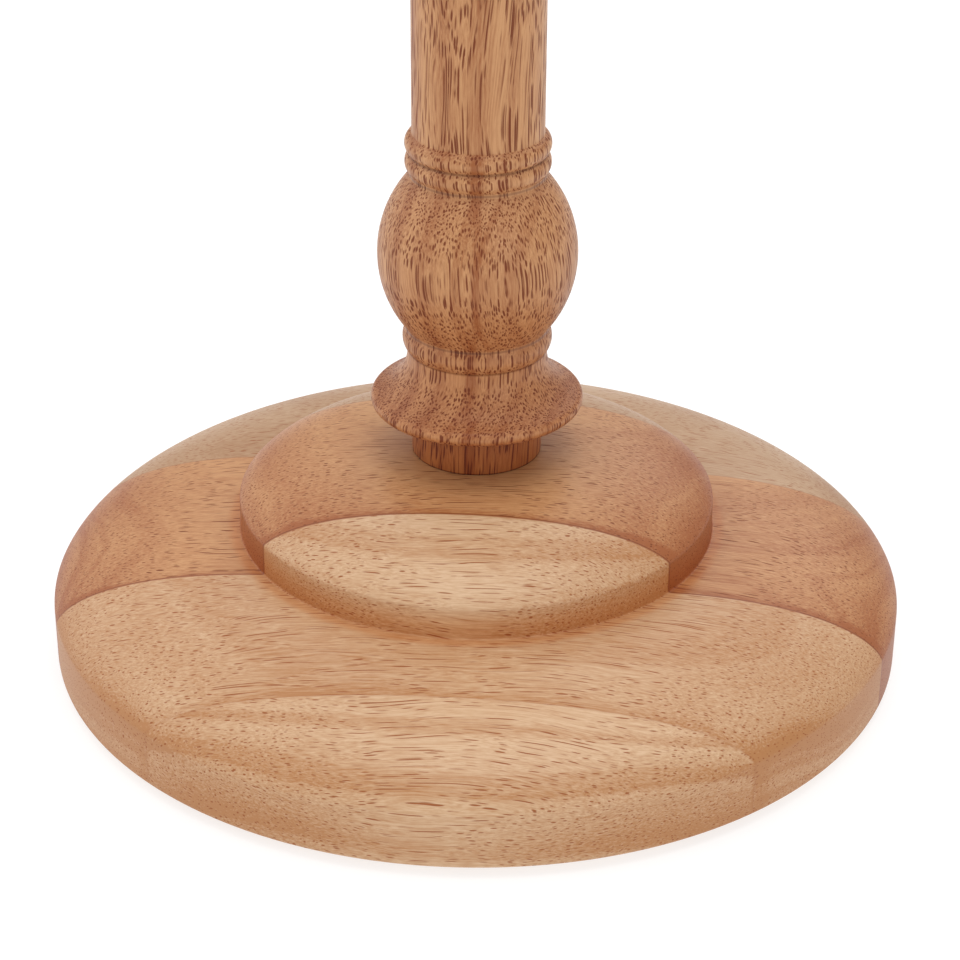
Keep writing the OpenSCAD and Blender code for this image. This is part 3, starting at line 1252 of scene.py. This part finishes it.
@dataclass
class Studio:
    """A plain white floor under a soft white tent, and the camera. Lengths in metres."""

    aim_height: float
    lens: float = 97.04
    sensor: float = 36.0
    distance: float = 0.53354
    elevation: float = 31.259
    lift: float = 3.108
    turn: float = 0.0786
    roll: float = 0.3028
    floor_radius: float = 4.0

    def camera(self) -> None:
        """Camera in front of the base, aimed at the middle of its underside, then lifted and turned.

        It starts upright, tips down by the elevation less the lift, and then turns about its own
        up and view directions.
        """
        rise = math.radians(self.elevation)
        place = (0, -self.distance * math.cos(rise), self.distance * math.sin(rise) + self.aim_height)
        matrix = Matrix.Translation(place)
        for angle, axis in ((90 - self.elevation + self.lift, "X"), (-self.turn, "Y"), (self.roll, "Z")):
            matrix = matrix @ Matrix.Rotation(math.radians(angle), 4, axis)
        data = bpy.data.cameras.new("camera")
        data.lens, data.sensor_width = self.lens, self.sensor
        data.clip_start, data.clip_end = 0.01, 50
        camera = bpy.data.objects.new("camera", data)
        camera.matrix_world = matrix
        bpy.context.scene.collection.objects.link(camera)
        bpy.context.scene.camera = camera

    def floor(self) -> None:
        """A round floor of plain pale paint."""
        points, faces = turned(np.array([(0, 0), (self.floor_radius / MM, 0)]), 96)
        floor = closed_mesh("floor", points, faces)
        floor.data.materials.append(FloorPaint("floor_paint").material())

    def tent(self) -> None:
        """Even white light from all round, stronger from both sides, from above and from behind."""
        world = bpy.data.worlds.new("tent")
        bpy.context.scene.world = world
        world.use_nodes = True
        net = Net(world.node_tree)
        way = net.add("ShaderNodeTexCoord", {}, {}, "Generated")
        x, y, z = (way.part(name) for name in "XYZ")
        sides = x.ramp(-0.3, -0.95) * 0.85 + x.ramp(0.3, 0.95) * 0.02
        back = y.ramp(0.0, 0.8) * z.ramp(0.15, 0.6) * 0.6
        glow = 0.36 + sides + back + z.ramp(0.1, 1.0) * 0.5
        seen = net.add("ShaderNodeLightPath", {}, {}, "Is Camera Ray")
        strength = glow * (1 - seen) + seen
        inputs = {"Color": (1, 1, 1, 1), "Strength": strength}
        light = net.add("ShaderNodeBackground", {}, inputs, "Background")
        net.add("ShaderNodeOutputWorld", {}, {"Surface": light})

    def lamp(self, name: str, place: Triple, target: Triple, size: float, power: float) -> None:
        """One large square light that faces a target.

        Args:
            name: Name of the light.
            place: Where it stands.
            target: The point that it faces.
            size: Length of its side.
            power: Its power in watts.
        """
        data = bpy.data.lights.new(name, "AREA")
        data.size, data.energy = size, power
        lamp = bpy.data.objects.new(name, data)
        way = Vector(target) - Vector(place)
        lamp.matrix_world = Matrix.Translation(place) @ way.to_track_quat("-Z", "Y").to_matrix().to_4x4()
        bpy.context.scene.collection.objects.link(lamp)

    def build(self) -> None:
        """Sets up the floor, the light and the camera."""
        scene = bpy.context.scene
        scene.view_settings.view_transform = "Standard"
        self.camera()
        self.floor()
        self.tent()
        self.lamp("top_light", (0.1, -0.1, 1.3), (0, 0, 0.05), size=0.9, power=4.5)
        self.lamp("sheen_light", (0.5, 1.25, 0.72), (0, 0, 0.04), size=0.6, power=1.2)
        self.lamp("right_light", (0.7, -1.0, 0.45), (0, 0, 0.04), size=0.7, power=2.6)


def main() -> None:
    """Builds every sub-assembly round the frame."""
    logging.basicConfig(level=logging.INFO, format="%(name)s %(message)s")
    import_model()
    base_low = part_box("base_middle_board")[0].z / MM
    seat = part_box("base_middle_board")[1].z / MM
    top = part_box("post")[1].z / MM
    Base(lift=base_low).build()
    post = Post(seat=seat, top=top)
    pegs = Pegs(level=seat + post.peg_level)
    post.build(pegs)
    pegs.build()
    Finial(top=top).build()
    Fixing(seat=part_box("screw_washer")[0].z / MM).build()
    FootPads().build()
    Studio(aim_height=base_low * MM).build()


if __name__ == "__main__":
    main()
